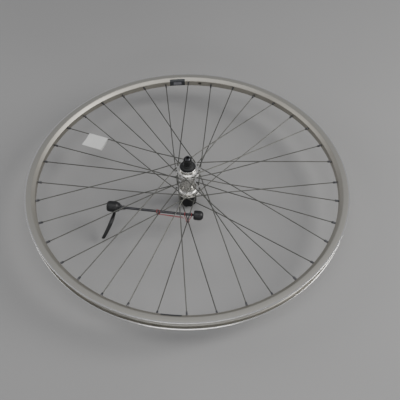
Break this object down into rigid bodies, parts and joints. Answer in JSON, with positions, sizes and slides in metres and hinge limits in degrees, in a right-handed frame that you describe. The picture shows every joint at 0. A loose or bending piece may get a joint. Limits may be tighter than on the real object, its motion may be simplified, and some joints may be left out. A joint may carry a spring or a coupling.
{
  "type": "bicycle rear wheel",
  "caption": "Rear bicycle wheel lying flat: narrow alloy rim, crossed steel spokes, splined freehub, and its quick-release skewer tied among the spokes.",
  "frame": {"origin": "on the hub axis, in the rim's middle plane, half way between the axle ends", "axes": "+Z along the hub axis, towards the non-drive side, which faces up; +Y through the valve hole; the floor is at z = -70.5 mm, under the drive-side axle end"},
  "size_m": [0.6339, 0.634, 0.141],
  "materials": {
    "rim_alloy": "satin champagne-silver anodised",
    "black_label": "printed film",
    "nipple_metal": "dark plated",
    "spoke_steel": "drawn stainless",
    "polished_alloy": "polished",
    "race_steel": "ground",
    "ball_steel": "polished",
    "dark_steel": "oiled",
    "black_steel": "black",
    "black_rubber": "matt",
    "black_anodised": "black anodised",
    "nylon": "natural",
    "spring_steel": "drawn",
    "red_rubber": "matt red",
    "paper": "uncoated paper"
  },
  "bodies": {
    "axle_set": {"axle": "dark_steel", "cone_left": "race_steel", "cone_right": "race_steel", "locknut_left": "black_steel", "locknut_right": "dark_steel", "spacer_left": "black_steel", "spacer_right": "race_steel", "boot_left": "black_rubber"},
    "wheel": {"rim": "rim_alloy", "rim_sleeve": "race_steel", "sticker_valve": "black_label", "sticker_joint": "black_label", "nipples": "nipple_metal", "spokes_left_out": "spoke_steel", "spokes_left_in": "spoke_steel", "spokes_right_out": "spoke_steel", "spokes_right_in": "spoke_steel", "hub_shell": "polished_alloy", "cup_left": "race_steel", "cup_right": "race_steel", "dust_cap_left": "dark_steel", "dust_cap_right": "dark_steel", "freehub_core": "race_steel", "freehub_bolt": "dark_steel", "pawl_spring": "spring_steel", "skewer_rod": "dark_steel", "cam_head": "black_anodised", "head_spring": "spring_steel", "band": "red_rubber", "paper_tag": "paper"},
    "left_balls": {"balls_left": "ball_steel"},
    "right_balls": {"balls_right": "ball_steel"},
    "freehub": {"freehub_body": "black_steel", "freehub_seal": "black_rubber"},
    "freehub_ball_rows": {"freehub_balls": "ball_steel"},
    "pawl_1": {"pawl_a": "race_steel"},
    "pawl_2": {"pawl_b": "race_steel"},
    "lever_arm": {"lever": "black_anodised"},
    "nut_carrier": {"nut_insert": "nylon"},
    "nut": {"adjusting_nut": "black_anodised"}
  },
  "joints": [
    {"name": "wheel_spin", "type": "hinge", "parent": "axle_set", "child": "wheel", "pos_m": [0, 0, 0], "axis": [0, 0, 1], "continuous": true},
    {"name": "left_ball_orbit", "type": "hinge", "parent": "axle_set", "child": "left_balls", "pos_m": [0, 0, 0.038], "axis": [0, 0, 1], "continuous": true},
    {"name": "right_ball_orbit", "type": "hinge", "parent": "axle_set", "child": "right_balls", "pos_m": [0, 0, -0.0515], "axis": [0, 0, 1], "continuous": true},
    {"name": "freehub_spin", "type": "hinge", "parent": "wheel", "child": "freehub", "pos_m": [0, 0, -0.0435], "axis": [0, 0, 1], "continuous": true},
    {"name": "freehub_ball_orbit", "type": "hinge", "parent": "wheel", "child": "freehub_ball_rows", "pos_m": [0, 0, -0.0375], "axis": [0, 0, 1], "continuous": true},
    {"name": "pawl_a_lift", "type": "hinge", "parent": "wheel", "child": "pawl_1", "pos_m": [0.0114, 0, -0.0376], "axis": [0, 0, 1], "range_deg": [0, 8.6]},
    {"name": "pawl_b_lift", "type": "hinge", "parent": "wheel", "child": "pawl_2", "pos_m": [-0.0114, 0, -0.0376], "axis": [0, 0, 1], "range_deg": [0, 8.6]},
    {"name": "lever_swing", "type": "hinge", "parent": "wheel", "child": "lever_arm", "pos_m": [-0.1391, -0.0681, -0.0096], "axis": [0.0063, 0.7433, -0.669], "range_deg": [0, 60]},
    {"name": "nut_travel", "type": "slide", "parent": "wheel", "child": "nut_carrier", "axis": [0.9993, -0.0284, -0.0222], "range_m": [-0.0024, 0.004]},
    {"name": "nut_turn", "type": "hinge", "parent": "nut_carrier", "child": "nut", "pos_m": [0.0208, -0.07265, -0.01315], "axis": [0.9993, -0.0284, -0.0222], "range_deg": [-1080, 1800]}
  ],
  "couplings": [
    {"joint": "left_ball_orbit", "follows": "wheel_spin", "ratio": 0.61454},
    {"joint": "right_ball_orbit", "follows": "wheel_spin", "ratio": 0.61454},
    {"joint": "freehub_ball_orbit", "follows": "freehub_spin", "ratio": 0.56172},
    {"joint": "nut_turn", "follows": "nut_travel", "rad_per_m": 7854}
  ]
}
